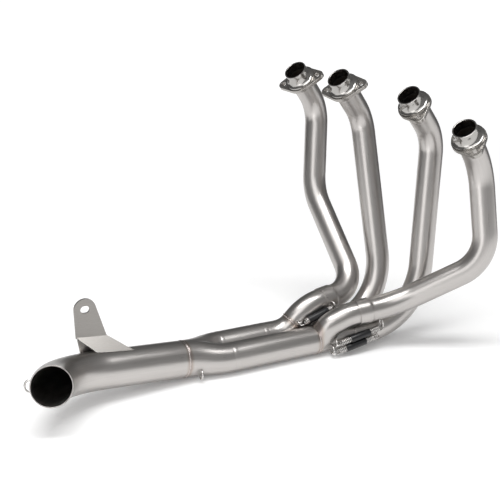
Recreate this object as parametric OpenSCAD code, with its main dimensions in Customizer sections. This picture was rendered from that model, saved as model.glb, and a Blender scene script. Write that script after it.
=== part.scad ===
// Exhaust header of a four-cylinder motorcycle: four primary tubes slip into two
// collectors, whose two middle tubes run side by side into one outlet pipe.
// It lies as it rests on the ground. X runs forward to the ports, Y to the left, Z up.
// The origin is on the ground at the inlet of the last merge, midway between its tubes.
// The primary tubes are numbered 1 to 4 from the left to the right.

/* [Frame] */
// Middle of the whole header on the ground, which is the origin of its frame
frame_middle = [42, 28, -0.6]; // [-60:0.5:60]

/* [Primary tubes] */
// Outside diameter of a primary tube
primary_od = 38; // [36:0.5:39]
// Wall of the primary tubes and their collectors
primary_wall = 1.2; // [1:0.1:1.6]
// Length of the belled end that slips over a collector inlet
slip_length = 20; // [16:1:22]
// Gap all round between a belled end and the inlet inside it
slip_clearance = 0.15; // [0.1:0.05:0.3]
// Length of the flare from the tube up to its belled end
flare_length = 4; // [3:0.5:5]

/* [Route of tube 1] */
// Centre of the mouth at port 1
tube_1_mouth = [209.5, 166.3, 412.9]; // [0:0.1:450]
// Corner of the bend under port 1
tube_1_corner_1 = [264.9, 186.9, 347.4]; // [0:0.1:450]
// Corner of the slight bend halfway down tube 1
tube_1_corner_2 = [243.6, 155.2, 208.8]; // [0:0.1:450]
// Corner of the bend where tube 1 turns back
tube_1_corner_3 = [247.7, 24.6, 75.6]; // [0:0.1:450]
// Bend radii of tube 1, from the port down
tube_1_radii = [58, 92, 50]; // [44:1:110]

/* [Route of tube 2] */
// Centre of the mouth at port 2
tube_2_mouth = [241.2, 84.5, 408.1]; // [0:0.1:450]
// Corner of the bend under port 2
tube_2_corner_1 = [302.4, 106.2, 338.3]; // [0:0.1:450]
// Corner of the bend where tube 2 turns back near the ground
tube_2_corner_2 = [301.9, 16.3, 21.8]; // [0:0.1:450]
// Bend radii of tube 2, from the port down
tube_2_radii = [54, 104]; // [50:1:115]

/* [Route of tube 3] */
// Centre of the mouth at port 3
tube_3_mouth = [306.6, -12.4, 389]; // [-50:0.1:450]
// Corner of the bend under port 3
tube_3_corner_1 = [370.4, 5.8, 317.7]; // [-50:0.1:450]
// Corner of the bend where tube 3 turns back near the ground
tube_3_corner_2 = [330.4, -31.7, 25.7]; // [-50:0.1:450]
// Bend radii of tube 3, from the port down
tube_3_radii = [58, 110]; // [50:1:115]

/* [Route of tube 4] */
// Centre of the mouth at port 4
tube_4_mouth = [330, -117.9, 353.2]; // [-150:0.1:450]
// Corner of the bend under port 4
tube_4_corner_1 = [382.3, -99.6, 286.6]; // [-150:0.1:450]
// Corner of the slight bend halfway down tube 4
tube_4_corner_2 = [382.4, -129.2, 146.7]; // [-150:0.1:450]
// Corner of the bend where tube 4 turns back
tube_4_corner_3 = [276.3, -49.5, 69]; // [-150:0.1:450]
// Bend radii of tube 4, from the port down
tube_4_radii = [77, 65, 109]; // [50:1:115]

/* [Port ends] */
// Bore of the turned port end
port_bore = 32.6; // [30:0.2:33]
// Outside diameter of the mouth that enters the port
port_neck_od = 36.6; // [36:0.2:38]
// Length of the straight mouth
port_neck_length = 6; // [4:0.5:8]
// Length of the curved shoulder behind the mouth
port_shoulder_length = 12; // [9:0.5:14]
// Outside diameter of the rim that the flange pushes on
port_rim_od = 50; // [47:0.5:51]
// Thickness of the rim
port_rim_thickness = 4; // [3:0.5:5]
// Depth of the seat in the back of the port end that takes the tube
port_seat_depth = 8; // [6:0.5:10]
// Gap all round between the tube and its seat
port_seat_clearance = 0.1; // [0.08:0.01:0.15]

/* [Flanges] */
// Distance between the two bolt holes of a flange
flange_bolt_pitch = 60; // [58:0.5:64]
// Diameter of a bolt hole
flange_hole_d = 8.2; // [6.5:0.1:9]
// Thickness of a flange
flange_thickness = 6; // [5:0.5:8]
// Diameter of the round middle of a flange
flange_disc_d = 53; // [51:0.5:55]
// Radius of the ears round the bolt holes
flange_ear_r = 9.4; // [8:0.2:10]
// Gap all round between a flange and the tube that it slides on
flange_clearance = 0.5; // [0.3:0.1:1]
// Turn of each flange about its tube, for ports 1 to 4
flange_turns = [64, 70, -45, -46]; // [-180:1:180]

/* [Collectors] */
// Corner of the upper inlet of the rear collector
rear_upper_corner = [147, 13.7, 64.6]; // [0:0.1:200]
// End of the upper inlet of the rear collector
rear_upper_end = [127.5, 16.6, 41]; // [0:0.1:200]
// Bend radius of the upper inlet of the rear collector
rear_upper_radius = 68; // [50:1:69]
// End of the lower inlet of the rear collector
rear_lower_end = [150, 19.5, 21]; // [0:0.1:200]
// Place along X where the rear collector meets its middle tube
rear_ring_x = 80; // [76:1:84]
// Distance from the upper corner of the rear collector to the slip joint
rear_upper_joint = 30; // [29:0.5:32]
// Distance from the lower end of the rear collector to the slip joint
rear_lower_joint = 20; // [14:1:22]
// Corner of the upper inlet of the front collector
front_upper_corner = [195.4, -37.5, 59.5]; // [-50:0.1:200]
// End of the upper inlet of the front collector
front_upper_end = [171, -33.5, 49.2]; // [-50:0.1:200]
// Bend radius of the upper inlet of the front collector
front_upper_radius = 76; // [60:1:90]
// End of the lower inlet of the front collector
front_lower_end = [176, -25, 20.2]; // [-50:0.1:200]
// Place along X where the front collector meets its middle tube
front_ring_x = 144; // [140:1:148]
// Distance from the upper corner of the front collector to the slip joint
front_upper_joint = 13; // [12:0.5:16]
// Distance from the lower end of the front collector to the slip joint
front_lower_joint = 32; // [30:0.5:36]

/* [Middle tubes] */
// Outside diameter of the two middle tubes
middle_od = 44.5; // [43:0.1:44.8]
// Wall of the middle tubes and the last merge
middle_wall = 1.2; // [1:0.1:1.6]
// Distance between the axes of the two middle tubes
middle_pitch = 46; // [45.8:0.1:47]

/* [Outlet] */
// Outside diameter of the outlet pipe
outlet_od = 55; // [53:0.5:56]
// Wall of the outlet pipe
outlet_wall = 1.5; // [1.2:0.1:2]
// Centre of the seam between the last merge and the outlet pipe
outlet_start = [-72.6, -11, 29.3]; // [-100:0.1:40]
// Corner of the bend in the outlet pipe
outlet_corner = [-267.8, -26.4, 49.8]; // [-300:0.1:60]
// Centre of the open mouth of the outlet pipe
outlet_mouth = [-287.2, -99.1, 71.1]; // [-300:0.1:80]
// Bend radius of the outlet pipe
outlet_radius = 110; // [95:1:111]

/* [Weld beads] */
// Width of a weld bead
bead_width = 3.2; // [2.5:0.1:4]
// Height of a weld bead above the tube
bead_height = 0.6; // [0.4:0.1:0.7]

/* [Hanger bracket] */
// Thickness of the bracket sheet
bracket_thickness = 3; // [2:0.5:4]
// Left end of the fold between the ear and the shelf
bracket_fold_left = [-227, -5, 90]; // [-250:0.5:100]
// Right end of the fold between the ear and the shelf
bracket_fold_right = [-183, -5, 85.7]; // [-250:0.5:100]
// Left end of the shelf on the pipe
bracket_weld_left = [-203, -24, 70.2]; // [-250:0.5:100]
// Right end of the shelf on the pipe
bracket_weld_right = [-151, -24, 63.8]; // [-250:0.5:100]
// Centre of the hanger hole
bracket_hole = [-212, -5, 129.5]; // [-250:0.5:140]
// Width of the hanger hole across the slot
bracket_hole_d = 10.4; // [8:0.1:12]
// Extra length of the hanger hole along the slot
bracket_slot = 2.4; // [1:0.1:4]
// Radius of the rounded top of the ear
bracket_ear_r = 15.6; // [13:0.2:17]
// Height of the foot of the rear leg above the ground, before it is fitted to the pipe
bracket_leg_foot = 58; // [52:0.5:60]
// Gap under the bracket and its leg where they are welded to the pipe
bracket_clearance = 0.1; // [0.05:0.05:0.3]

/* [Springs] */
// Outside diameter of a spring coil
spring_od = 10; // [9:0.2:10.4]
// Diameter of the spring wire
spring_wire = 1.8; // [1.5:0.1:2]
// Turns in a spring coil
spring_turns = 12; // [8:1:16]
// Radius of the hook at each end of a spring
spring_hook_r = 3.7; // [3:0.1:4]
// Outside diameter of the rubber sleeve on a spring
sleeve_od = 11.6; // [11.4:0.2:12]
// Length of the rubber sleeve
sleeve_length = 36; // [30:1:40]
// Gap all round between a spring coil and its sleeve
sleeve_clearance = 0.2; // [0.1:0.1:0.4]
// Diameter of the wire of the welded loops
loop_wire = 2.8; // [2.4:0.1:3]
// Gap between the wire of a loop and the spring hook round it
hook_clearance = 0.1; // [0.05:0.05:0.3]
// Angle round the tube from the middle of a loop to each of its feet
loop_spread = 15; // [10:1:20]
// Gap under the foot of a loop
foot_clearance = 0.5; // [0.4:0.05:0.7]
// Left end of the spring of tube 1
spring_1_left = [124, -10, 45.5]; // [-60:0.5:260]
// Right end of the spring of tube 1
spring_1_right = [192, -8.5, 65.5]; // [-60:0.5:260]
// Left end of the spring of tube 3
spring_3_left = [158, -53.4, 7.8]; // [-60:0.5:260]
// Right end of the spring of tube 3
spring_3_right = [243, -53.4, 22.1]; // [-60:0.5:260]
// Left end of the spring of tube 4
spring_4_left = [163, -53.6, 20.4]; // [-60:0.5:260]
// Right end of the spring of tube 4
spring_4_right = [252, -53.6, 36.4]; // [-60:0.5:260]
// Rise of the feet of the collector's loop of tube 4, where its two branches meet
collector_loop_4_lift = 1.2; // [0.5:0.1:1.5]
// Turn of the right hook of the spring of tube 4, so that it faces its tube
spring_4_twist = 75; // [60:1:90]
// Top of the spare loop under the last merge
merge_loop_top = [-55, -42, 7]; // [-60:0.5:60]
// Distance of the spare loop from the mouth of the outlet pipe
outlet_loop_back = 18; // [14:1:22]
// Height of the spare loops above the pipe
spare_loop_height = 8; // [6:0.5:9]

/* [Hidden] */
$fn = 64;
blend_fn = 36;
blend_steps = 4;
disc = 0.2;
lap = 0.5;
step = 0.05;
leg_drop = bracket_thickness * 1.4;
primary_r = primary_od / 2;
middle_r = middle_od / 2;
outlet_r = outlet_od / 2;
slip_r = primary_r + slip_clearance + primary_wall;
rear_y = middle_pitch / 2;
front_y = -middle_pitch / 2;
rear_ring = [rear_ring_x, rear_y, middle_r];
front_ring = [front_ring_x, front_y, middle_r];
port_length = port_neck_length + port_shoulder_length + port_rim_thickness;
tube_start = port_length - port_seat_depth;
flange_bore_r = primary_r + flange_clearance;
steel = [0.68, 0.66, 0.64];
bright = [0.8, 0.8, 0.8];
rubber = [0.08, 0.08, 0.09];

function unit(v) = v / norm(v);
function bulge(r) = step + r * (1 - cos(180 / $fn));
function along(a, b, d) = a + unit(b - a) * d;
function turn_at(v, a, b) = 180 - acos(unit(a - v) * unit(b - v));
function setback(v, a, b, r) = r * tan(turn_at(v, a, b) / 2);

// Places of the four slip joints, each at the edge of the belled end
joint_1 = along(rear_upper_corner, tube_1_corner_3, rear_upper_joint);
joint_2 = along(rear_lower_end, tube_2_corner_2, rear_lower_joint);
joint_3 = along(front_lower_end, tube_3_corner_2, front_lower_joint);
joint_4 = along(front_upper_corner, tube_4_corner_3, front_upper_joint);

// Directions from the tubes out to the springs
away_1 = [0, -1, -0.2];
away_3 = [0, -1, -0.4];
away_4 = [0, -1, 0];

// Turns +Z on to direction d
module point_z(d) {
    rotate([0, acos(d[2] / norm(d)), atan2(d[1], d[0])]) children();
}

// Moves the origin to p and turns +Z on to q
module from_to(p, q) {
    translate(p) point_z(q - p) children();
}

module ring(r, wall) {
    difference() {
        circle(r = r);
        if (wall < r) circle(r = r - wall);
    }
}

// Straight tube from p to q, with its laps into the next bends
module straight(p, q, r, wall, lap_p, lap_q) {
    from_to(p, q) translate([0, 0, -lap_p])
        linear_extrude(height = norm(q - p) + lap_p + lap_q) ring(r, wall);
}

// Bent tube round corner v, between the directions to a and b
module bend(v, a, b, bend_r, r, wall) {
    turn = turn_at(v, a, b);
    p = along(v, a, setback(v, a, b, bend_r));
    q = along(v, b, setback(v, a, b, bend_r));
    c = v + unit(unit(a - v) + unit(b - v)) * bend_r / cos(turn / 2);
    x = unit(p - c);
    z = unit(cross(p - c, q - c));
    y = cross(z, x);
    multmatrix([[x[0], y[0], z[0], c[0]], [x[1], y[1], z[1], c[1]],
            [x[2], y[2], z[2], c[2]], [0, 0, 0, 1]])
        rotate_extrude(angle = turn) translate([bend_r, 0]) ring(r + bulge(r), wall + 2 * bulge(r));
}

// Tube through a list of corner points with one bend radius at each inner corner
module bent_tube(points, radii, r, wall) {
    last = len(points) - 1;
    for (i = [0 : last - 1]) {
        p = points[i];
        q = points[i + 1];
        back_p = i == 0 ? 0 : setback(p, points[i - 1], q, radii[i - 1]);
        back_q = i == last - 1 ? 0 : setback(q, p, points[i + 2], radii[i]);
        straight(along(p, q, back_p), along(q, p, back_q), r, wall,
            i == 0 ? 0 : lap, i == last - 1 ? 0 : lap);
    }
    for (i = [1 : last - 1]) {
        bend(points[i], points[i - 1], points[i + 1], radii[i - 1], r, wall);
    }
}

// Belled end of a primary tube, with its edge at the joint and +Z up the tube
module belled_end() {
    edge = slip_length + flare_length + lap;
    inner = primary_r - primary_wall;
    rotate_extrude() polygon([
        [slip_r - primary_wall, 0],
        [slip_r, 0],
        [slip_r, slip_length],
        [primary_r + bulge(primary_r), slip_length + flare_length],
        [primary_r + bulge(primary_r), edge],
        [inner - bulge(primary_r), edge],
        [inner - bulge(primary_r), slip_length + flare_length],
        [slip_r - primary_wall, slip_length]
    ]);
}

// Primary tube from inside its port end down to the belled end at the joint
module primary(points, radii, joint) {
    last = len(points) - 1;
    bell_end = along(joint, points[last], slip_length + flare_length);
    start = along(points[0], points[1], tube_start);
    color(steel) {
        bent_tube(concat([start], [for (i = [1 : last]) points[i]], [bell_end]),
            radii, primary_r, primary_wall);
        from_to(joint, points[last]) belled_end();
    }
}

// Turned port end, with its mouth at the origin and the tube along +Z
module port_end() {
    neck_r = port_neck_od / 2;
    rim_r = port_rim_od / 2;
    shoulder = [for (a = [0 : 10 : 90])
        [neck_r + (rim_r - neck_r) * (1 - cos(a)), port_neck_length + port_shoulder_length * sin(a)]];
    color(bright) rotate_extrude() polygon(concat(
        [[port_bore / 2 + 1, 0], [neck_r - 0.5, 0], [neck_r, 0.5]],
        shoulder,
        [
            [rim_r, port_length - 0.5],
            [rim_r - 0.5, port_length],
            [primary_r + port_seat_clearance, port_length],
            [primary_r + port_seat_clearance, tube_start - port_seat_clearance],
            [port_bore / 2, tube_start - port_seat_clearance],
            [port_bore / 2, 1]
        ]));
}

// Two-bolt flange, with its face on the rim of the port end
module flange() {
    color(steel) translate([0, 0, port_length]) difference() {
        linear_extrude(height = flange_thickness) hull() {
            circle(d = flange_disc_d);
            for (side = [-1, 1]) {
                translate([side * flange_bolt_pitch / 2, 0]) circle(r = flange_ear_r);
            }
        }
        translate([0, 0, -1]) cylinder(h = flange_thickness + 2, r = flange_bore_r);
        for (side = [-1, 1]) {
            translate([side * flange_bolt_pitch / 2, 0, -1])
                cylinder(h = flange_thickness + 2, d = flange_hole_d);
        }
    }
}

// Middle of a blended branch that leaves p along p_axis and reaches q along q_axis
function blend_point(p, p_axis, q, q_axis, t) =
    let(h = 0.4 * norm(q - p))
    p * pow(1 - t, 3) + (p + p_axis * h) * 3 * pow(1 - t, 2) * t
        + (q - q_axis * h) * 3 * (1 - t) * t * t + q * pow(t, 3);

// Points of a blended branch after its first, and the radius at each of them
function blend_points(p, p_axis, q, q_axis) =
    [for (k = [1 : blend_steps]) blend_point(p, p_axis, q, q_axis, k / blend_steps)];
function blend_radii(p_r, q_r) =
    [for (k = [1 : blend_steps]) let(t = k / blend_steps) p_r + (q_r - p_r) * t * t * (3 - 2 * t)];

// Points along a bend round corner v
function bend_points(v, a, b, r) =
    let(turn = turn_at(v, a, b), p = along(v, a, setback(v, a, b, r)),
        c = v + unit(unit(a - v) + unit(b - v)) * r / cos(turn / 2), x = unit(p - c), y = -unit(a - v))
    [for (i = [0 : blend_steps]) c + r * (x * cos(turn * i / blend_steps) + y * sin(turn * i / blend_steps))];

// Round rod through points with a radius at each, or the space inside it where shrink is the wall.
// It starts past the first point by early, faces along last_axis at its end, and runs past the last
module rod(points, radii, shrink, early, first_axis, last_axis) {
    last = len(points) - 1;
    more = shrink == 0 ? 0 : lap;
    for (i = [0 : last - 1]) {
        hull() {
            for (k = [i, i + 1]) {
                past = k == 0 ? -early - more : k == last ? lap + more : 0;
                axis = k == 0 ? first_axis : k == last ? last_axis : points[k + 1] - points[k - 1];
                from_to(points[k], points[k] + axis) translate([0, 0, past - disc / 2])
                    cylinder(h = disc, r = radii[k] - shrink);
            }
        }
    }
}

// Raised bead with its middle at p, set back from the seam on the side of q
module bead(p, q, r) {
    half = bead_width / 2;
    from_to(p, q) translate([0, 0, half]) rotate_extrude() polygon(concat(
        [[r - primary_wall / 2, half], [r - primary_wall / 2, -half]],
        [for (a = [-90 : 30 : 90]) [r + bead_height * cos(a), half * sin(a)]]));
}

// Solid form of a collector, or of the space inside it where shrink is the wall
module collector_form(upper_from, upper_corner, upper_end, upper_radius, lower_from, lower_end,
        upper_joint, lower_joint, ring_at, shrink) {
    upper_top = along(upper_joint, upper_from, slip_length - 1);
    lower_top = along(lower_joint, lower_from, slip_length - 1);
    bent = bend_points(upper_corner, upper_top, upper_end, upper_radius);
    rod(concat([upper_top], bent, [upper_end],
            blend_points(upper_end, unit(upper_end - upper_corner), ring_at, [-1, 0, 0])),
        concat([primary_r, primary_r], [for (p = bent) primary_r], blend_radii(primary_r, middle_r)),
        shrink, 0, upper_corner - upper_top, [-1, 0, 0]);
    rod(concat([lower_top, lower_end], blend_points(lower_end, unit(lower_end - lower_from), ring_at, [-1, 0, 0])),
        concat([primary_r, primary_r], blend_radii(primary_r, middle_r)),
        shrink, 0, lower_end - lower_top, [-1, 0, 0]);
}

// Space past the square end of a collector
module beyond(ring_at) {
    translate(ring_at - [middle_od, middle_od, middle_od]) cube([middle_od, 2 * middle_od, 2 * middle_od]);
}

module rear_form(shrink) {
    collector_form(tube_1_corner_3, rear_upper_corner, rear_upper_end, rear_upper_radius,
        tube_2_corner_2, rear_lower_end, joint_1, joint_2, rear_ring, shrink, $fn = blend_fn);
}

module front_form(shrink) {
    collector_form(tube_4_corner_3, front_upper_corner, front_upper_end, front_upper_radius,
        tube_3_corner_2, front_lower_end, joint_4, joint_3, front_ring, shrink, $fn = blend_fn);
}

module rear_collector() {
    color(steel) difference() {
        rear_form(0);
        rear_form(primary_wall);
        beyond(rear_ring);
    }
}

module front_collector() {
    color(steel) difference() {
        front_form(0);
        front_form(primary_wall);
        beyond(front_ring);
    }
}

module middle_tube(y, length, front_bead) {
    color(steel) {
        straight([0, y, middle_r], [length, y, middle_r], middle_r, middle_wall, 0, 0);
        bead([0, y, middle_r], [1, y, middle_r], middle_r);
        if (front_bead) bead([length, y, middle_r], [0, y, middle_r], middle_r);
    }
}

module merge_form(shrink) {
    axis = unit(outlet_corner - outlet_start);
    for (y = [rear_y, front_y]) {
        rod(concat([[0, y, middle_r]], blend_points([0, y, middle_r], [-1, 0, 0], outlet_start, axis)),
            concat([middle_r], blend_radii(middle_r, outlet_r)), shrink, lap, [-1, 0, 0], axis);
    }
}

module last_merge() {
    color(steel) difference() {
        merge_form(0, $fn = blend_fn);
        merge_form(middle_wall, $fn = blend_fn);
        translate([0, -middle_od * 3 / 2, -middle_r]) cube([middle_r, middle_od * 3, middle_od * 2]);
        from_to(outlet_start, outlet_corner) cylinder(h = outlet_r, r = outlet_r * 3 / 2);
    }
}

module outlet_pipe() {
    color(steel) {
        bent_tube([outlet_start, outlet_corner, outlet_mouth], [outlet_radius], outlet_r, outlet_wall);
        bead(outlet_start, outlet_corner, outlet_r);
    }
}

// Flat sheet through three points, with its outline given as points in space
module sheet(outline, thickness) {
    o = outline[0];
    x = unit(outline[1] - o);
    z = unit(cross(x, outline[2] - o));
    y = cross(z, x);
    multmatrix([[x[0], y[0], z[0], o[0]], [x[1], y[1], z[1], o[1]],
            [x[2], y[2], z[2], o[2]], [0, 0, 0, 1]])
        linear_extrude(height = thickness, center = true)
            polygon([for (p = outline) [(p - o) * x, (p - o) * y]]);
}

// Room that the outlet pipe takes out of the bracket and its leg
module outlet_room() {
    r = outlet_r + bracket_clearance;
    bent_tube([outlet_start, outlet_corner, outlet_mouth], [outlet_radius], r, r);
}

module hanger_bracket() {
    color(steel) difference() {
        hanger_sheet();
        outlet_room();
    }
}

module hanger_sheet() {
    union() {
        sheet([bracket_fold_left, bracket_fold_right, bracket_weld_right, bracket_weld_left],
            bracket_thickness);
        from_to(bracket_fold_left, bracket_fold_right)
            cylinder(h = norm(bracket_fold_right - bracket_fold_left), d = bracket_thickness);
        translate([0, bracket_fold_left[1], 0]) rotate([90, 0, 0])
            linear_extrude(height = bracket_thickness, center = true) difference() {
                hull() {
                    translate([bracket_hole[0], bracket_hole[2]]) circle(r = bracket_ear_r);
                    polygon([[bracket_fold_left[0], bracket_fold_left[2]],
                        [bracket_fold_right[0], bracket_fold_right[2]],
                        [bracket_fold_left[0] + 1, bracket_fold_left[2] + 20]]);
                }
                hull() {
                    for (side = [-1, 1]) {
                        translate([bracket_hole[0] + side * bracket_slot / 2, bracket_hole[2]])
                            circle(d = bracket_hole_d);
                    }
                }
            }
    }
}

module hanger_leg() {
    color(steel) difference() {
        translate([0, bracket_fold_left[1], 0]) rotate([90, 0, 0])
            linear_extrude(height = bracket_thickness, center = true)
                polygon([[bracket_fold_left[0] + 2, bracket_fold_left[2] - leg_drop],
                    [bracket_fold_right[0] - 2, bracket_fold_right[2] - leg_drop],
                    [bracket_fold_right[0] - 6, bracket_leg_foot],
                    [bracket_fold_left[0] + 6, bracket_leg_foot]]);
        outlet_room();
    }
}

// Outline of the cross-section that a wire carries along its path
function carried(v, t) = unit(v - t * (v * t));
function tangent(path, i) = unit(path[min(i + 1, len(path) - 1)] - path[max(i - 1, 0)]);
function sides(path, i, v) = i == len(path) ? [] :
    let(n = carried(v, tangent(path, i))) concat([n], sides(path, i + 1, n));

// Round wire along a list of points
module wire(path, r, facets = 5) {
    first = cross(tangent(path, 0), abs(tangent(path, 0)[1]) < 0.9 ? [0, 1, 0] : [1, 0, 0]);
    across = sides(path, 0, first);
    n = len(path);
    skin = [for (i = [0 : n - 1]) for (k = [0 : facets - 1])
        path[i] + r * (across[i] * cos(360 * k / facets)
            + cross(tangent(path, i), across[i]) * sin(360 * k / facets))];
    walls = [for (i = [0 : n - 2]) for (k = [0 : facets - 1]) for (half = [0, 1])
        let(m = (k + 1) % facets, a = i * facets + k, b = (i + 1) * facets + m)
        half == 0 ? [a, (i + 1) * facets + k, b] : [a, b, i * facets + m]];
    ends = [[for (k = [0 : facets - 1]) k],
        [for (k = [0 : facets - 1]) (n - 1) * facets + facets - 1 - k]];
    polyhedron(points = skin, faces = concat(walls, ends), convexity = 10);
}

// Centre line of a spring along +Z, with a hook at each end
function spring_path(length, twist) =
    let(r = (spring_od - spring_wire) / 2, h = spring_hook_r, rise = h + 7, n = spring_turns * 10,
        step_a = (360 * spring_turns + twist) / n)
    concat(
        [for (a = [-135 : 30 : 75]) [h * sin(a), 0, spring_wire / 2 + h - h * cos(a)]],
        [for (i = [0 : n])
            [r * cos(step_a * i), r * sin(step_a * i), rise + (length - 2 * rise) * i / n]],
        [for (a = [75 : -30 : -135])
            [h * sin(a) * cos(twist), h * sin(a) * sin(twist), length - spring_wire / 2 - h + h * cos(a)]]);

// Places children at a spring: +Z from its left to its right end, +X away from the tubes
module at_spring(left, right, away) {
    z = unit(right - left);
    y = unit(cross(z, away));
    x = cross(y, z);
    multmatrix([[x[0], y[0], z[0], left[0]], [x[1], y[1], z[1], left[1]],
        [x[2], y[2], z[2], left[2]], [0, 0, 0, 1]]) children();
}

module spring(left, right, away, twist = 0) {
    color(bright) at_spring(left, right, away)
        wire(spring_path(norm(right - left), twist), spring_wire / 2);
}

module sleeve(left, right, away) {
    middle = norm(right - left) / 2;
    color(rubber) at_spring(left, right, away) translate([0, 0, middle - sleeve_length / 2])
        difference() {
            cylinder(h = sleeve_length, d = sleeve_od);
            translate([0, 0, -1]) cylinder(h = sleeve_length + 2, d = spring_od + 2 * sleeve_clearance);
        }
}

// Place of the loop wire inside the hook at end p of a spring that runs on to q
function hooked(p, q) = along(p, q, spring_wire + loop_wire / 2 + hook_clearance);

// Wire loop with its top at p and both feet on a tube of radius r round the line a to b
module welded_loop(p, a, b, r) {
    axis = unit(b - a);
    c = a + axis * ((p - a) * axis);
    out = unit(p - c);
    side = cross(axis, out);
    foot_r = r + foot_clearance;
    handle = (norm(p - c) / cos(loop_spread) - foot_r) / 0.75;
    u = out * cos(loop_spread) + side * sin(loop_spread);
    v = out * cos(loop_spread) - side * sin(loop_spread);
    color(bright) wire([for (t = [0 : 1 / 12 : 1.001])
        c + u * foot_r * pow(1 - t, 3) + u * (foot_r + handle) * 3 * pow(1 - t, 2) * t
            + v * (foot_r + handle) * 3 * (1 - t) * pow(t, 2) + v * foot_r * pow(t, 3)],
        loop_wire / 2, 6);
}

// Radius of a collector or merge part of the way from one round section to another
function blended_r(p, a, b, r_a, r_b) = r_a + (r_b - r_a) * ((p - a) * unit(b - a)) / norm(b - a);

module collector_loop(p, lift) {
    welded_loop(p, front_lower_end, front_ring,
        blended_r(p, front_lower_end, front_ring, primary_r, middle_r) + lift);
}

module merge_loop() {
    inlet = [0, front_y, middle_r];
    welded_loop(merge_loop_top, inlet, outlet_start,
        blended_r(merge_loop_top, inlet, outlet_start, middle_r, outlet_r));
}

module outlet_loop() {
    axis = unit(outlet_mouth - outlet_corner);
    inner = unit(outlet_start - outlet_corner);
    sag = pow(outlet_loop_back, 2) / (2 * outlet_radius);
    out = unit(-inner + axis * (inner * axis));
    c = outlet_mouth - axis * outlet_loop_back - out * sag;
    welded_loop(c + out * (outlet_r + spare_loop_height), c, c + axis, outlet_r + foot_clearance);
}

// Turns a flange about its tube and sets it at a port
module at_port(mouth, corner, turn = 0) {
    from_to(mouth, corner) rotate([0, 0, turn]) children();
}

// Moves a piece from the drawing's frame to the frame of the whole
module placed() {
    translate(-frame_middle) children();
}

placed()  // primary_1
    primary([tube_1_mouth, tube_1_corner_1, tube_1_corner_2, tube_1_corner_3], tube_1_radii, joint_1);
placed()  // primary_2
    primary([tube_2_mouth, tube_2_corner_1, tube_2_corner_2], tube_2_radii, joint_2);
placed()  // primary_3
    primary([tube_3_mouth, tube_3_corner_1, tube_3_corner_2], tube_3_radii, joint_3);
placed()  // primary_4
    primary([tube_4_mouth, tube_4_corner_1, tube_4_corner_2, tube_4_corner_3], tube_4_radii, joint_4);
placed() at_port(tube_1_mouth, tube_1_corner_1) port_end();  // port_end_1
placed() at_port(tube_2_mouth, tube_2_corner_1) port_end();  // port_end_2
placed() at_port(tube_3_mouth, tube_3_corner_1) port_end();  // port_end_3
placed() at_port(tube_4_mouth, tube_4_corner_1) port_end();  // port_end_4
placed() at_port(tube_1_mouth, tube_1_corner_1, flange_turns[0]) flange();  // flange_1
placed() at_port(tube_2_mouth, tube_2_corner_1, flange_turns[1]) flange();  // flange_2
placed() at_port(tube_3_mouth, tube_3_corner_1, flange_turns[2]) flange();  // flange_3
placed() at_port(tube_4_mouth, tube_4_corner_1, flange_turns[3]) flange();  // flange_4
placed() rear_collector();
placed() front_collector();
placed() middle_tube(rear_y, rear_ring_x, false);  // rear_middle_tube
placed() middle_tube(front_y, front_ring_x, true);  // front_middle_tube
placed() last_merge();
placed() outlet_pipe();
placed() hanger_bracket();
placed() hanger_leg();
placed() spring(spring_1_left, spring_1_right, away_1);  // spring_1
placed() spring(spring_3_left, spring_3_right, away_3);  // spring_3
placed() spring(spring_4_left, spring_4_right, away_4, spring_4_twist);  // spring_4
placed() sleeve(spring_1_left, spring_1_right, away_1);  // sleeve_1
placed() sleeve(spring_3_left, spring_3_right, away_3);  // sleeve_3
placed() sleeve(spring_4_left, spring_4_right, away_4);  // sleeve_4
placed()  // primary_loop_1
    welded_loop(hooked(spring_1_right, spring_1_left), rear_upper_corner, tube_1_corner_3, slip_r);
placed()  // primary_loop_3
    welded_loop(hooked(spring_3_right, spring_3_left), front_lower_end, tube_3_corner_2, primary_r);
placed()  // primary_loop_4
    welded_loop(hooked(spring_4_right, spring_4_left), front_upper_corner, tube_4_corner_3, primary_r);
placed()  // collector_loop_1
    welded_loop(hooked(spring_1_left, spring_1_right), rear_upper_end, rear_upper_corner, primary_r);
placed() collector_loop(hooked(spring_3_left, spring_3_right), 0);  // collector_loop_3
placed()   // collector_loop_4
    collector_loop(hooked(spring_4_left, spring_4_right), collector_loop_4_lift);
placed() merge_loop();
placed() outlet_loop();
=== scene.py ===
import math

import bmesh
import bpy
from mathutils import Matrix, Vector
from mathutils.kdtree import KDTree


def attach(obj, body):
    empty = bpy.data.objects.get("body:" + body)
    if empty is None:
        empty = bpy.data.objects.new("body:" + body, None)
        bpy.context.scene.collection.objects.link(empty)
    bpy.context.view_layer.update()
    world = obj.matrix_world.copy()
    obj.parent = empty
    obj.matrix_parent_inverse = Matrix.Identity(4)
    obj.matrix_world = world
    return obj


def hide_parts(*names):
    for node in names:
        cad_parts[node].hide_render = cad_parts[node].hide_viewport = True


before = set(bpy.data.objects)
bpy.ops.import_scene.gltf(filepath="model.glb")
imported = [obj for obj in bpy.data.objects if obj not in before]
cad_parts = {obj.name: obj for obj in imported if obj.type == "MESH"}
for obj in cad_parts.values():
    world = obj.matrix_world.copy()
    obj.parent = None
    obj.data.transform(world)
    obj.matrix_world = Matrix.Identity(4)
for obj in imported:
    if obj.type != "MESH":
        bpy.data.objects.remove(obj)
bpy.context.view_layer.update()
mm = 0.001
print("frame loaded")


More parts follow.
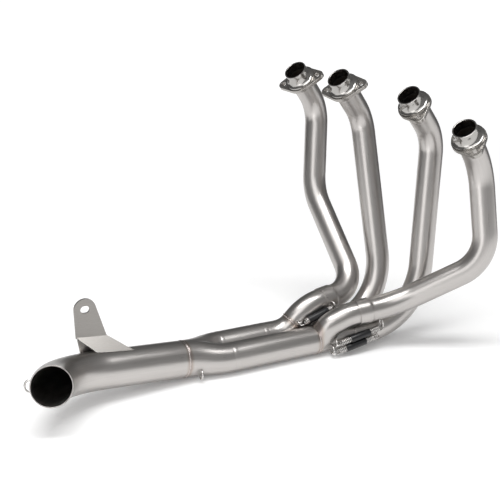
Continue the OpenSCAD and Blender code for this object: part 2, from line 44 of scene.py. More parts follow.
# Sizes and places that several pieces share, in millimetres as on the drawing
tubeSizes = {"primary": 19.0, "wall": 1.2, "middle": 22.25, "outlet": 27.5, "outletWall": 1.5, "pitch": 46.0}
slipJoint = {"length": 20.0, "flare": 4.0, "gap": 0.15}
collectors = {
    "rear_collector": {"upperFrom": (247.7, 24.6, 75.6), "upperCorner": (147, 13.7, 64.6),
                       "upperEnd": (127.5, 16.6, 41), "upperJoint": 30, "bend": 68,
                       "lowerFrom": (301.9, 16.3, 21.8), "lowerEnd": (150, 19.5, 21), "lowerJoint": 20,
                       "ring": (80, 23, 22.25)},
    "front_collector": {"upperFrom": (276.3, -49.5, 69), "upperCorner": (195.4, -37.5, 59.5),
                        "upperEnd": (171, -33.5, 49.2), "upperJoint": 13, "bend": 76,
                        "lowerFrom": (330.4, -31.7, 25.7), "lowerEnd": (176, -25, 20.2), "lowerJoint": 32,
                        "ring": (144, -23, 22.25)},
}
outletRoute = {"start": (-72.6, -11, 29.3), "corner": (-267.8, -26.4, 49.8),
               "mouth": (-287.2, -99.1, 71.1), "bend": 110}
drawingMiddle = Vector((42, 28, -0.6))  # the frame's origin lies under this place


def vec(p):
    return (Vector(p) - drawingMiddle) * mm


def towards(a, b, distance):
    return a + (b - a).normalized() * distance * mm


# Centre lines
def bentPath(corners, radii, spacing=3.0):
    points = [corners[0]]
    for i in range(1, len(corners) - 1):
        back = (corners[i - 1] - corners[i]).normalized()
        ahead = (corners[i + 1] - corners[i]).normalized()
        turn = math.pi - back.angle(ahead)
        radius = radii[i - 1] * mm
        setback = radius * math.tan(turn / 2)
        centre = corners[i] + (back + ahead).normalized() * radius / math.cos(turn / 2)
        start = corners[i] + back * setback
        first = (start - centre).normalized()
        second = -back
        steps = max(4, round(turn * radii[i - 1] / spacing))
        for k in range(steps + 1):
            angle = turn * k / steps
            points.append(centre + (first * math.cos(angle) + second * math.sin(angle)) * radius)
    points.append(corners[-1])
    filled = [points[0]]
    for a, b in zip(points, points[1:]):
        length = (b - a).length
        if length < 1e-6:
            continue
        count = max(1, round(length / (spacing * mm)))
        filled += [a + (b - a) * (k / count) for k in range(1, count + 1)]
    return filled


def alongDistances(path):
    total, out = 0.0, [0.0]
    for a, b in zip(path, path[1:]):
        total += (b - a).length
        out.append(total)
    return out


def carriedFrames(path):
    last = len(path) - 1
    tangents = [(path[min(i + 1, last)] - path[max(i - 1, 0)]).normalized() for i in range(last + 1)]
    side = tangents[0].cross(Vector((0, 0, 1)))
    if side.length < 0.1:
        side = tangents[0].cross(Vector((0, 1, 0)))
    frames = []
    for t in tangents:
        side = (side - t * side.dot(t)).normalized()
        frames.append((side.copy(), t.cross(side)))
    return frames


# Meshes
def newPiece(name, vertices, faces, smooth=True):
    mesh = bpy.data.meshes.new(name)
    mesh.from_pydata(vertices, [], faces)
    mesh.validate()
    if smooth:
        mesh.polygons.foreach_set("use_smooth", [True] * len(mesh.polygons))
    piece = bpy.data.objects.new(name, mesh)
    bpy.context.scene.collection.objects.link(piece)
    return piece


flowScale = 10  # of the flow along a piece, for each metre


def writeFlow(piece, flow):
    layer = piece.data.attributes.new("flow", "FLOAT_VECTOR", "POINT")
    layer.data.foreach_set("vector", [c for f in flow for c in f])


weldSearch = {"farthest": 1.0, "width": 1.5}  # in metres, and in radii of the tube


def writeWeldDistance(piece, welds):
    layer = piece.data.attributes.new("weldDistance", "FLOAT", "POINT")
    values = []
    for v in piece.data.vertices:
        near = weldSearch["farthest"]
        for centre, axis, radius in welds:
            offset = v.co - centre
            level = offset.dot(axis)
            if (offset - axis * level).length < radius * weldSearch["width"]:
                near = min(near, abs(level))
        values.append(near / mm)
    layer.data.foreach_set("value", values)


def sweptTube(name, path, radii, wall, sides=72):
    frames = carriedFrames(path)
    distances = alongDistances(path)
    count = len(path)
    vertices, flow = [], []
    for shift in (0.0, wall):
        for i in range(count):
            u, v = frames[i]
            for k in range(sides):
                a = 2 * math.pi * k / sides
                out = u * math.cos(a) + v * math.sin(a)
                vertices.append(path[i] + out * (radii[i] - shift) * mm)
                flow.append((math.cos(a), math.sin(a), distances[i] * flowScale))
    faces = []
    inner = count * sides
    for i in range(count - 1):
        for k in range(sides):
            m = (k + 1) % sides
            a, b, c, d = i * sides + k, i * sides + m, (i + 1) * sides + m, (i + 1) * sides + k
            faces.append((a, b, c, d))
            faces.append((inner + d, inner + c, inner + b, inner + a))
    last = (count - 1) * sides
    for k in range(sides):
        m = (k + 1) % sides
        faces.append((m, k, inner + k, inner + m))
        faces.append((last + k, last + m, inner + last + m, inner + last + k))
    piece = newPiece(name, vertices, faces)
    writeFlow(piece, flow)
    return piece


def solidRod(name, path, radii, sides=64):
    frames = carriedFrames(path)
    vertices = []
    for i, p in enumerate(path):
        u, v = frames[i]
        for k in range(sides):
            a = 2 * math.pi * k / sides
            vertices.append(p + (u * math.cos(a) + v * math.sin(a)) * radii[i] * mm)
    faces = [tuple(range(sides))[::-1], tuple((len(path) - 1) * sides + k for k in range(sides))]
    for i in range(len(path) - 1):
        for k in range(sides):
            m = (k + 1) % sides
            faces.append((i * sides + k, i * sides + m, (i + 1) * sides + m, (i + 1) * sides + k))
    piece = newPiece(name, vertices, faces)
    turns = [2 * math.pi * k / sides for k in range(sides)]
    writeFlow(piece, [(math.cos(a), math.sin(a), d * flowScale) for d in alongDistances(path) for a in turns])
    return piece


def turnedPiece(name, profile, origin, axis, sides=96):
    turn = axis.to_track_quat("Z", "Y").to_matrix()
    vertices, flow = [], []
    for r, z in profile:
        for k in range(sides):
            a = 2 * math.pi * k / sides
            vertices.append(origin + turn @ (Vector((r * math.cos(a), r * math.sin(a), z)) * mm))
            flow.append((math.cos(a), math.sin(a), (z + r) * flowScale * mm))
    faces = []
    count = len(profile)
    for i in range(count):
        j = (i + 1) % count
        for k in range(sides):
            m = (k + 1) % sides
            faces.append((i * sides + k, j * sides + k, j * sides + m, i * sides + m))
    piece = newPiece(name, vertices, faces)
    writeFlow(piece, flow)
    return piece


def softEdges(piece, width, segments=2, angle=35):
    bevel = piece.modifiers.new("softEdges", "BEVEL")
    bevel.width = width * mm
    bevel.segments = segments
    bevel.limit_method = "ANGLE"
    bevel.angle_limit = math.radians(angle)
    bevel.harden_normals = True


def applyModifiers(piece):
    graph = bpy.context.evaluated_depsgraph_get()
    mesh = bpy.data.meshes.new_from_object(piece.evaluated_get(graph))
    piece.modifiers.clear()
    piece.data = mesh


def softenedCopy(node, name, width):
    piece = bpy.data.objects.new(name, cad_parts[node].data.copy())
    bpy.context.scene.collection.objects.link(piece)
    shape = bmesh.new()
    shape.from_mesh(piece.data)
    bmesh.ops.remove_doubles(shape, verts=shape.verts, dist=0.01 * mm)
    bmesh.ops.dissolve_limit(shape, angle_limit=math.radians(1), verts=shape.verts, edges=shape.edges)
    shape.to_mesh(piece.data)
    shape.free()
    piece.data.materials.clear()
    piece.data.polygons.foreach_set("use_smooth", [True] * len(piece.data.polygons))
    softEdges(piece, width)
    flatFaces = piece.modifiers.new("flatFaces", "WEIGHTED_NORMAL")
    flatFaces.weight = 100
    flatFaces.keep_sharp = True
    return piece


def join(name, pieces):
    with bpy.context.temp_override(active_object=pieces[0], selected_editable_objects=pieces):
        bpy.ops.object.join()
    pieces[0].name = name
    return pieces[0]


def blendedBody(name, rods):
    body = join(name, rods)
    remesh = body.modifiers.new("skin", "REMESH")
    remesh.mode = "VOXEL"
    remesh.voxel_size = bodySkin["voxel"] * mm
    remesh.use_smooth_shade = True
    smooth = body.modifiers.new("relax", "SMOOTH")
    smooth.iterations = bodySkin["smoothing"]
    smooth.factor = 0.5
    applyModifiers(body)
    return body


def hollowOut(body, core):
    cut = body.modifiers.new("bore", "BOOLEAN")
    cut.operation = "DIFFERENCE"
    cut.solver = "EXACT"
    cut.object = core
    applyModifiers(body)
    bpy.data.objects.remove(core)


def writeNearestFlow(piece, paths):
    samples = []
    for path in paths:
        frames = carriedFrames(path)
        distances = alongDistances(path)
        samples += [(p, f, d) for p, f, d in zip(path, frames, distances)]
    tree = KDTree(len(samples))
    for i, (p, f, d) in enumerate(samples):
        tree.insert(p, i)
    tree.balance()
    flow = []
    for v in piece.data.vertices:
        _, i, _ = tree.find(v.co)
        p, (side, up), d = samples[i]
        offset = v.co - p
        a = math.atan2(offset.dot(up), offset.dot(side))
        flow.append((math.cos(a), math.sin(a), d * flowScale))
    writeFlow(piece, flow)


# Shader helpers
class Shader:
    def __init__(self, tree):
        self.tree = tree

    def add(self, kind, **values):
        node = self.tree.nodes.new(kind)
        for key, value in values.items():
            setattr(node, key, value)
        return node

    def link(self, a, b):
        self.tree.links.new(a, b)

    def maths(self, operation, a, b=None):
        node = self.add("ShaderNodeMath", operation=operation)
        for socket, value in zip(node.inputs, (a, b)):
            if value is None:
                continue
            if isinstance(value, (int, float)):
                socket.default_value = value
            else:
                self.link(value, socket)
        return node.outputs[0]

    def mixColour(self, factor, a, b, blend="MIX"):
        node = self.add("ShaderNodeMix", data_type="RGBA", blend_type=blend)
        for socket, value in ((node.inputs[0], factor), (node.inputs[6], a), (node.inputs[7], b)):
            if isinstance(value, (int, float)):
                socket.default_value = value
            elif isinstance(value, tuple):
                socket.default_value = (*value, 1)
            else:
                self.link(value, socket)
        return node.outputs[2]

    def ramp(self, factor, stops):
        node = self.add("ShaderNodeValToRGB")
        while len(node.color_ramp.elements) < len(stops):
            node.color_ramp.elements.new(0.5)
        for element, (place, colour) in zip(node.color_ramp.elements, stops):
            element.position = place
            element.color = (*colour, 1)
        self.link(factor, node.inputs[0])
        return node.outputs[0]

    def noise(self, vector, scale, detail=3.0, roughness=0.5):
        node = self.add("ShaderNodeTexNoise")
        node.inputs["Scale"].default_value = scale
        node.inputs["Detail"].default_value = detail
        node.inputs["Roughness"].default_value = roughness
        self.link(vector, node.inputs["Vector"])
        return node.outputs["Fac"]


def newGroup(name, inputs, outputs):
    group = bpy.data.node_groups.new(name, "ShaderNodeTree")
    for label, kind, default in inputs:
        socket = group.interface.new_socket(label, in_out="INPUT", socket_type=kind)
        if default is not None:
            socket.default_value = default
    for label, kind in outputs:
        group.interface.new_socket(label, in_out="OUTPUT", socket_type=kind)
    shader = Shader(group)
    return group, shader, shader.add("NodeGroupInput"), shader.add("NodeGroupOutput")


# Fine lines that run with the tube, and the cloudy marks of handling
def makeGrainGroup():
    inputs = [("Flow", "NodeSocketVector", None), ("Around", "NodeSocketFloat", 40.0),
              ("Along", "NodeSocketFloat", 1.0)]
    outputs = [("Grain", "NodeSocketFloat"), ("Clouds", "NodeSocketFloat")]
    group, s, given, put = newGroup("brushedGrain", inputs, outputs)
    parts = s.add("ShaderNodeSeparateXYZ")
    s.link(given.outputs["Flow"], parts.inputs[0])
    stretched = s.add("ShaderNodeCombineXYZ")
    s.link(s.maths("MULTIPLY", parts.outputs[0], given.outputs["Around"]), stretched.inputs[0])
    s.link(s.maths("MULTIPLY", parts.outputs[1], given.outputs["Around"]), stretched.inputs[1])
    s.link(s.maths("MULTIPLY", parts.outputs[2], given.outputs["Along"]), stretched.inputs[2])
    s.link(s.noise(stretched.outputs[0], 1.0, 4.0, 0.6), put.inputs["Grain"])
    s.link(s.noise(given.outputs["Flow"], 1.6, 4.0, 0.6), put.inputs["Clouds"])
    return group


# Tint that the heat of a weld leaves on both sides of it, by the distance in millimetres
def makeWeldTintGroup():
    inputs = [("Colour", "NodeSocketColor", (0.6, 0.6, 0.6, 1)), ("Distance", "NodeSocketFloat", 100.0),
              ("Reach", "NodeSocketFloat", 12.0), ("Clouds", "NodeSocketFloat", 0.5)]
    group, s, given, put = newGroup("weldTint", inputs, [("Colour", "NodeSocketColor")])
    wavy = s.maths("ADD", given.outputs["Distance"], s.maths("MULTIPLY", given.outputs["Clouds"], 5.0))
    level = s.maths("DIVIDE", wavy, given.outputs["Reach"])
    tint = s.ramp(level, [(0.0, (0.86, 0.82, 0.82)), (0.25, (0.78, 0.7, 0.69)), (0.5, (0.82, 0.74, 0.69)),
                          (0.75, (0.93, 0.9, 0.87)), (1.0, (1, 1, 1))])
    s.link(s.mixColour(1.0, given.outputs["Colour"], tint, "MULTIPLY"), put.inputs["Colour"])
    return group


def newMaterial(name):
    material = bpy.data.materials.new(name)
    material.use_nodes = True
    material.node_tree.nodes.clear()
    s = Shader(material.node_tree)
    surface = s.add("ShaderNodeBsdfPrincipled")
    out = s.add("ShaderNodeOutputMaterial")
    s.link(surface.outputs[0], out.inputs[0])
    return material, s, surface


def placeGroup(s, group, **values):
    node = s.add("ShaderNodeGroup", node_tree=group)
    for key, value in values.items():
        socket = node.inputs[key]
        if isinstance(value, (int, float)):
            socket.default_value = value
        elif isinstance(value, tuple):
            socket.default_value = (*value, 1)
        else:
            s.link(value, socket)
    return node


grainGroup = makeGrainGroup()
weldTintGroup = makeWeldTintGroup()

# A tint of 0 leaves a finish without the colours of the welds
steelFinishes = {
    "tubeSteel": {"colour": (0.58, 0.558, 0.54), "dark": (0.4, 0.38, 0.366),
                  "roughness": 0.32, "spread": 0.16,
                  "around": 22.0, "along": 0.9, "bump": 0.12, "tint": 9.0},
    "turnedSteel": {"colour": (0.52, 0.505, 0.485), "dark": (0.3, 0.29, 0.278),
                    "roughness": 0.16, "spread": 0.1,
                    "around": 1.0, "along": 1400.0, "bump": 0.05, "tint": 0.0},
    "flangeSteel": {"colour": (0.5, 0.48, 0.455), "dark": (0.32, 0.305, 0.29),
                    "roughness": 0.27, "spread": 0.12,
                    "around": 60.0, "along": 60.0, "bump": 0.06, "tint": 0.0},
    "bracketSteel": {"colour": (0.33, 0.316, 0.3), "dark": (0.22, 0.209, 0.197),
                     "roughness": 0.34, "spread": 0.1,
                     "around": 8.0, "along": 120.0, "bump": 0.05, "tint": 0.0},
    "beadSteel": {"colour": (0.6, 0.56, 0.54), "dark": (0.46, 0.41, 0.39), "roughness": 0.26, "spread": 0.12,
                  "around": 30.0, "along": 30.0, "bump": 0.04, "tint": 0.0},
    "springSteel": {"colour": (0.66, 0.645, 0.63), "dark": (0.5, 0.485, 0.47),
                    "roughness": 0.18, "spread": 0.1,
                    "around": 4.0, "along": 10.0, "bump": 0.02, "tint": 0.0},
}
sheetFinishes = ("flangeSteel", "bracketSteel")  # these have no line of flow of their own
marks = {"sheetScale": 20.0, "cloudShare": 0.35, "depth": 0.2}


def makeSteel(name, finish):
    material, s, surface = newMaterial(name)
    if name in sheetFinishes:
        scaled = s.add("ShaderNodeVectorMath", operation="SCALE")
        scaled.inputs["Scale"].default_value = marks["sheetScale"]
        s.link(s.add("ShaderNodeTexCoord").outputs["Object"], scaled.inputs[0])
        flow = scaled.outputs[0]
    else:
        flow = s.add("ShaderNodeAttribute", attribute_name="flow").outputs["Vector"]
    grain = placeGroup(s, grainGroup, Flow=flow, Around=finish["around"], Along=finish["along"])
    base = s.mixColour(grain.outputs["Grain"], finish["dark"], finish["colour"])
    clouds = s.maths("MULTIPLY", grain.outputs["Clouds"], marks["cloudShare"])
    cloudy = s.mixColour(clouds, base, finish["colour"])
    if finish["tint"] > 0:
        distance = s.add("ShaderNodeAttribute", attribute_name="weldDistance").outputs["Fac"]
        tinted = placeGroup(s, weldTintGroup, Colour=cloudy, Distance=distance, Reach=finish["tint"],
                            Clouds=grain.outputs["Clouds"])
        cloudy = tinted.outputs["Colour"]
    s.link(cloudy, surface.inputs["Base Color"])
    surface.inputs["Metallic"].default_value = 1.0
    rough = s.maths("ADD", s.maths("MULTIPLY", grain.outputs["Grain"], finish["spread"]),
                    s.maths("MULTIPLY", grain.outputs["Clouds"], finish["spread"]))
    s.link(s.maths("ADD", rough, finish["roughness"] - finish["spread"]), surface.inputs["Roughness"])
    bump = s.add("ShaderNodeBump")
    bump.inputs["Strength"].default_value = finish["bump"]
    bump.inputs["Distance"].default_value = marks["depth"] * mm
    s.link(grain.outputs["Grain"], bump.inputs["Height"])
    s.link(bump.outputs[0], surface.inputs["Normal"])
    return material


rubber = {"black": (0.006, 0.006, 0.007), "dusty": (0.016, 0.016, 0.018), "roughness": 0.22, "spread": 0.25,
          "scale": 900.0, "bump": 0.15}


def makeRubber():
    material, s, surface = newMaterial("sleeveRubber")
    dust = s.noise(s.add("ShaderNodeTexCoord").outputs["Object"], rubber["scale"], 4.0, 0.6)
    s.link(s.mixColour(dust, rubber["black"], rubber["dusty"]), surface.inputs["Base Color"])
    rough = s.maths("ADD", s.maths("MULTIPLY", dust, rubber["spread"]), rubber["roughness"])
    s.link(rough, surface.inputs["Roughness"])
    bump = s.add("ShaderNodeBump")
    bump.inputs["Strength"].default_value = rubber["bump"]
    bump.inputs["Distance"].default_value = marks["depth"] * mm
    s.link(dust, bump.inputs["Height"])
    s.link(bump.outputs[0], surface.inputs["Normal"])
    return material


materials = {name: makeSteel(name, finish) for name, finish in steelFinishes.items()}
materials["sleeveRubber"] = makeRubber()
print("materials made")


def dress(piece, material, *nodes):
    piece.data.materials.clear()
    piece.data.materials.append(materials[material])
    if nodes:
        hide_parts(*nodes)
    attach(piece, "root")
    return piece


# Welds: middle, axis and tube radius of each, and which kind it is
outletStart, outletCorner, outletMouth = (vec(outletRoute[k]) for k in ("start", "corner", "mouth"))
outletAxis = (outletCorner - outletStart).normalized()
rearInlet = vec((0, tubeSizes["pitch"] / 2, tubeSizes["middle"]))
frontInlet = vec((0, -tubeSizes["pitch"] / 2, tubeSizes["middle"]))
xAxis = Vector((1, 0, 0))
rearUpperEnd = vec(collectors["rear_collector"]["upperEnd"])
rearUpperAxis = (vec(collectors["rear_collector"]["upperCorner"]) - rearUpperEnd).normalized()
beadShapes = {
    "seam": {"half": 1.1, "height": 0.5, "ripple": 1.6, "depth": 0.14, "material": "beadSteel"},
    "faint": {"half": 4.0, "height": 0.14, "ripple": 3.0, "depth": 0.0, "material": "tubeSteel"},
}
weldRings = [
    (vec(collectors["front_collector"]["ring"]), -xAxis, tubeSizes["middle"], "seam"),
    (outletStart, outletAxis, tubeSizes["outlet"], "seam"),
    (rearUpperEnd, rearUpperAxis, tubeSizes["primary"], "seam"),
    (rearInlet, xAxis, tubeSizes["middle"], "faint"),
    (vec(collectors["rear_collector"]["ring"]), -xAxis, tubeSizes["middle"], "faint"),
    (frontInlet, xAxis, tubeSizes["middle"], "faint"),
]


def nearWelds(extra=()):
    seams = [(c, a, r * mm) for c, a, r, shape in weldRings if shape == "seam"]
    return seams + [(c, a, r * mm) for c, a, r in extra]


# Primary tubes with their belled ends; corners from the mouth down to the collector
primaryRoutes = {
    "primary_1": {"corners": [(209.5, 166.3, 412.9), (264.9, 186.9, 347.4),
                              (243.6, 155.2, 208.8), (247.7, 24.6, 75.6)],
                  "radii": [58, 92, 50]},
    "primary_2": {"corners": [(241.2, 84.5, 408.1), (302.4, 106.2, 338.3), (301.9, 16.3, 21.8)],
                  "radii": [54, 104]},
    "primary_3": {"corners": [(306.6, -12.4, 389), (370.4, 5.8, 317.7), (330.4, -31.7, 25.7)],
                  "radii": [58, 110]},
    "primary_4": {"corners": [(330, -117.9, 353.2), (382.3, -99.6, 286.6),
                              (382.4, -129.2, 146.7), (276.3, -49.5, 69)],
                  "radii": [77, 65, 109]},
}


def jointOf(name):
    rear, front = collectors["rear_collector"], collectors["front_collector"]
    along = {"primary_1": (rear["upperCorner"], rear["upperFrom"], rear["upperJoint"]),
             "primary_2": (rear["lowerEnd"], rear["lowerFrom"], rear["lowerJoint"]),
             "primary_3": (front["lowerEnd"], front["lowerFrom"], front["lowerJoint"]),
             "primary_4": (front["upperCorner"], front["upperFrom"], front["upperJoint"])}[name]
    return towards(vec(along[0]), vec(along[1]), along[2])


portEnd = {"bore": 16.3, "neck": 18.3, "neckLength": 6.0, "shoulder": 12.0, "rim": 25.0, "rimThickness": 4.0,
           "seatDepth": 7.9, "seatGap": 0.1, "edge": 0.4, "rimEdge": 0.5, "boreEdge": 0.8, "steps": 18}
bellSteps = 6
portLength = portEnd["neckLength"] + portEnd["shoulder"] + portEnd["rimThickness"]


def makePrimary(name, route):
    corners = [vec(c) for c in route["corners"]]
    joint = jointOf(name)
    start = towards(corners[0], corners[1], portLength - portEnd["seatDepth"])
    bellStart = towards(joint, corners[-1], slipJoint["length"] + slipJoint["flare"])
    bellFull = towards(joint, corners[-1], slipJoint["length"])
    path = bentPath([start, *corners[1:], bellStart], route["radii"])
    path = [p for p in path if (p - joint).length > 0.5 * mm]
    bellRadius = tubeSizes["primary"] + slipJoint["gap"] + tubeSizes["wall"]
    radii = [tubeSizes["primary"]] * len(path)
    for k in range(1, bellSteps + 1):
        t = k / bellSteps
        path.append(bellStart.lerp(bellFull, t))
        radii.append(tubeSizes["primary"] + (bellRadius - tubeSizes["primary"]) * (3 * t * t - 2 * t ** 3))
    for k in range(1, bellSteps + 1):
        path.append(bellFull.lerp(joint, k / bellSteps))
        radii.append(bellRadius)
    piece = sweptTube(name + "_tube", path, radii, tubeSizes["wall"])
    seat = towards(corners[0], corners[1], portLength)
    seatAxis = (corners[1] - corners[0]).normalized()
    writeWeldDistance(piece, nearWelds([(seat, seatAxis, tubeSizes["primary"])]))
    softEdges(piece, 0.35, 2, 50)
    return dress(piece, "tubeSteel", name)


for name, route in primaryRoutes.items():
    makePrimary(name, route)
print("primary tubes made")


# The rounded outer corner of a turned section, on its first face (way 1) or on its last one (way -1)
def cornerPoints(radius, level, edge, way):
    rise = way * edge
    points = [(radius - edge, level), (radius - edge / 4, level + rise / 4), (radius, level + rise)]
    return points if way > 0 else points[::-1]


# Turned port ends and their flanges
def makePortEnd(number, route):
    mouth, corner = vec(route["corners"][0]), vec(route["corners"][1])
    axis = (corner - mouth).normalized()
    p = portEnd
    seat = portLength - p["seatDepth"]
    profile = [(p["bore"] + p["boreEdge"] * 0.75, 0)] + cornerPoints(p["neck"], 0, p["edge"], 1)
    for k in range(p["steps"] + 1):
        a = math.pi / 2 * k / p["steps"]
        r = p["neck"] + (p["rim"] - p["neck"]) * (1 - math.cos(a))
        profile.append((r, p["neckLength"] + p["shoulder"] * math.sin(a)))
    seatRadius = tubeSizes["primary"] + p["seatGap"]
    profile += cornerPoints(p["rim"], portLength, p["rimEdge"], -1)
    profile += [(seatRadius, portLength), (seatRadius, seat), (p["bore"], seat), (p["bore"], p["boreEdge"]),
                (p["bore"] + p["boreEdge"] / 4, p["boreEdge"] / 4)]
    piece = turnedPiece(f"port_end_{number}_turned", profile, mouth, axis)
    bevel = piece.modifiers.new("crispCorners", "EDGE_SPLIT")
    bevel.split_angle = math.radians(40)
    return dress(piece, "turnedSteel", f"port_end_{number}")


for number, route in enumerate(primaryRoutes.values(), 1):
    makePortEnd(number, route)
    flange = softenedCopy(f"flange_{number}", f"flange_{number}_plate", 0.7)
    dress(flange, "flangeSteel", f"flange_{number}")
print("port ends made")


# Collectors, middle tubes, last merge and outlet
bodySkin = {"voxel": 0.9, "smoothing": 5, "blendSteps": 16, "reach": 0.4, "overrun": 2.0, "inset": 1.0}


def taperPath(a, aAxis, b, bAxis):
    reach = (b - a).length * bodySkin["reach"]
    points = []
    for k in range(bodySkin["blendSteps"] + 1):
        t = k / bodySkin["blendSteps"]
        p = (a * (1 - t) ** 3 + (a + aAxis * reach) * 3 * (1 - t) ** 2 * t
             + (b - bAxis * reach) * 3 * (1 - t) * t * t + b * t ** 3)
        points.append(p)
    return points


def eased(a, b):
    shares = [k / bodySkin["blendSteps"] for k in range(bodySkin["blendSteps"] + 1)]
    return [a + (b - a) * (3 * t ** 2 - 2 * t ** 3) for t in shares]


# A rod for each path; one that cuts the bore runs on past both ends
def makeRods(name, paths, radii, shrink, isCore):
    rods = []
    for path, sizes in zip(paths, radii):
        sizes = [r - shrink for r in sizes]
        if isCore:
            before = (path[0] - path[1]).normalized() * bodySkin["overrun"] * mm
            after = (path[-1] - path[-2]).normalized() * bodySkin["overrun"] * mm
            path = [path[0] + before, *path, path[-1] + after]
            sizes = [sizes[0], *sizes, sizes[-1]]
        rods.append(solidRod(name, path, sizes))
    return rods


def makeHollowBody(node, paths, radii):
    body = blendedBody(node + "_body", makeRods(node + "_rod", paths, radii, 0, False))
    core = blendedBody(node + "_core", makeRods(node + "_coreRod", paths, radii, tubeSizes["wall"], True))
    hollowOut(body, core)
    body.data.polygons.foreach_set("use_smooth", [True] * len(body.data.polygons))
    writeNearestFlow(body, paths)
    writeWeldDistance(body, nearWelds())
    return dress(body, "tubeSteel", node)


def makeCollector(name, c):
    slipped = slipJoint["length"] - bodySkin["inset"]
    upperTop = towards(vec(c["upperCorner"]), vec(c["upperFrom"]), c["upperJoint"] + slipped)
    lowerTop = towards(vec(c["lowerEnd"]), vec(c["lowerFrom"]), c["lowerJoint"] + slipped)
    inlets = [bentPath([upperTop, vec(c["upperCorner"]), vec(c["upperEnd"])], [c["bend"]]),
              bentPath([lowerTop, vec(c["lowerEnd"])], [])]
    paths, radii = [], []
    for inlet in inlets:
        blend = taperPath(inlet[-1], (inlet[-1] - inlet[-2]).normalized(), vec(c["ring"]), -xAxis)
        paths.append(inlet + blend[1:])
        grown = eased(tubeSizes["primary"], tubeSizes["middle"])
        radii.append([tubeSizes["primary"]] * len(inlet) + grown[1:])
    makeHollowBody(name, paths, radii)


for name, c in collectors.items():
    makeCollector(name, c)
print("collectors made")


def makeMiddleTube(name, y, length):
    a, b = vec((0, y, tubeSizes["middle"])), vec((length, y, tubeSizes["middle"]))
    path = bentPath([a, b], [])
    piece = sweptTube(name + "_pipe", path, [tubeSizes["middle"]] * len(path), tubeSizes["wall"])
    writeWeldDistance(piece, nearWelds())
    return dress(piece, "tubeSteel", name)


makeMiddleTube("rear_middle_tube", tubeSizes["pitch"] / 2, collectors["rear_collector"]["ring"][0])
makeMiddleTube("front_middle_tube", -tubeSizes["pitch"] / 2, collectors["front_collector"]["ring"][0])
mergePaths = [taperPath(inlet, -xAxis, outletStart, outletAxis) for inlet in (rearInlet, frontInlet)]
makeHollowBody("last_merge", mergePaths, [eased(tubeSizes["middle"], tubeSizes["outlet"])] * 2)

outletPath = bentPath([outletStart, outletCorner, outletMouth], [outletRoute["bend"]])
outletRadii = [tubeSizes["outlet"]] * len(outletPath)
outletPipe = sweptTube("outlet_pipe_tube", outletPath, outletRadii, tubeSizes["outletWall"], 96)
writeWeldDistance(outletPipe, nearWelds())
softEdges(outletPipe, 0.4, 2, 50)
dress(outletPipe, "tubeSteel", "outlet_pipe")

for node in ("hanger_bracket", "hanger_leg"):
    dress(softenedCopy(node, node + "_sheet", 0.6), "bracketSteel", node)
print("merge, outlet and bracket made")


# Weld beads, laid as overlapping ripples
beadLaying = {"sunk": 0.25, "lean": 0.35, "across": 10, "perRipple": 8, "sharpness": 0.6, "offset": 0.6,
              "flow": 0.1}


def makeBead(name, centre, axis, radius, shape):
    turn = axis.to_track_quat("Z", "Y").to_matrix()
    perRipple, across, sunk = (beadLaying[k] for k in ("perRipple", "across", "sunk"))
    around = round(2 * math.pi * radius / shape["ripple"]) * perRipple
    vertices, faces, flow = [], [], []
    for i in range(around):
        a = 2 * math.pi * i / around
        wave = abs(math.sin(a * around / (2 * perRipple))) ** beadLaying["sharpness"]
        for k in range(across + 1):
            t = math.pi * (k / across)
            arch = math.sin(t)
            r = radius - sunk + (shape["height"] + sunk - shape["depth"] * (1 - wave)) * arch
            b = a + beadLaying["lean"] * arch * (wave - 0.5) / radius
            z = shape["half"] * math.cos(t)
            vertices.append(centre + turn @ (Vector((r * math.cos(b), r * math.sin(b), z)) * mm))
            flow.append((math.cos(b), math.sin(b), z * beadLaying["flow"]))
    row = across + 1
    for i in range(around):
        j = (i + 1) % around
        for k in range(across):
            faces.append((i * row + k, i * row + k + 1, j * row + k + 1, j * row + k))
        faces.append((i * row + across, i * row, j * row, j * row + across))
    piece = newPiece(name, vertices, faces)
    writeFlow(piece, flow)
    if shape["material"] == "tubeSteel":
        writeWeldDistance(piece, nearWelds())
    return dress(piece, shape["material"])


for i, (centre, axis, radius, kind) in enumerate(weldRings, 1):
    shape = beadShapes[kind]
    beadMiddle = centre + axis * shape["half"] * beadLaying["offset"] * mm
    makeBead(f"weld_bead_{i}", beadMiddle, axis, radius, shape)
print("weld beads made")


# Springs with their sleeves, and the wire loops that they hook on to
springs = {
    1: {"left": (124, -10, 45.5), "right": (192, -8.5, 65.5), "away": (0, -1, -0.2), "twist": 0},
    3: {"left": (158, -53.4, 7.8), "right": (243, -53.4, 22.1), "away": (0, -1, -0.4), "twist": 0},
    4: {"left": (163, -53.6, 20.4), "right": (252, -53.6, 36.4), "away": (0, -1, 0), "twist": 75},
}
springShape = {"od": 10.0, "wire": 0.9, "turns": 24, "turnSteps": 24, "hook": 3.7, "neck": 7.0}
hookArc = {"leftFrom": -135, "rightFrom": 75, "step": 10, "count": 22}  # degrees along each hook
sleeveShape = {"od": 11.6, "length": 36.0, "gap": 0.2, "edge": 0.4, "innerEdge": 0.3}
loopShape = {"wire": 1.4, "spread": 15.0, "foot": 0.1, "gap": 0.1, "bulge": 0.75, "steps": 32,
             "lift": 1.2}  # the lift is for the one beside the collector's blend


def wirePiece(name, path, radius, sides=14):
    return solidRod(name, path, [radius] * len(path), sides)


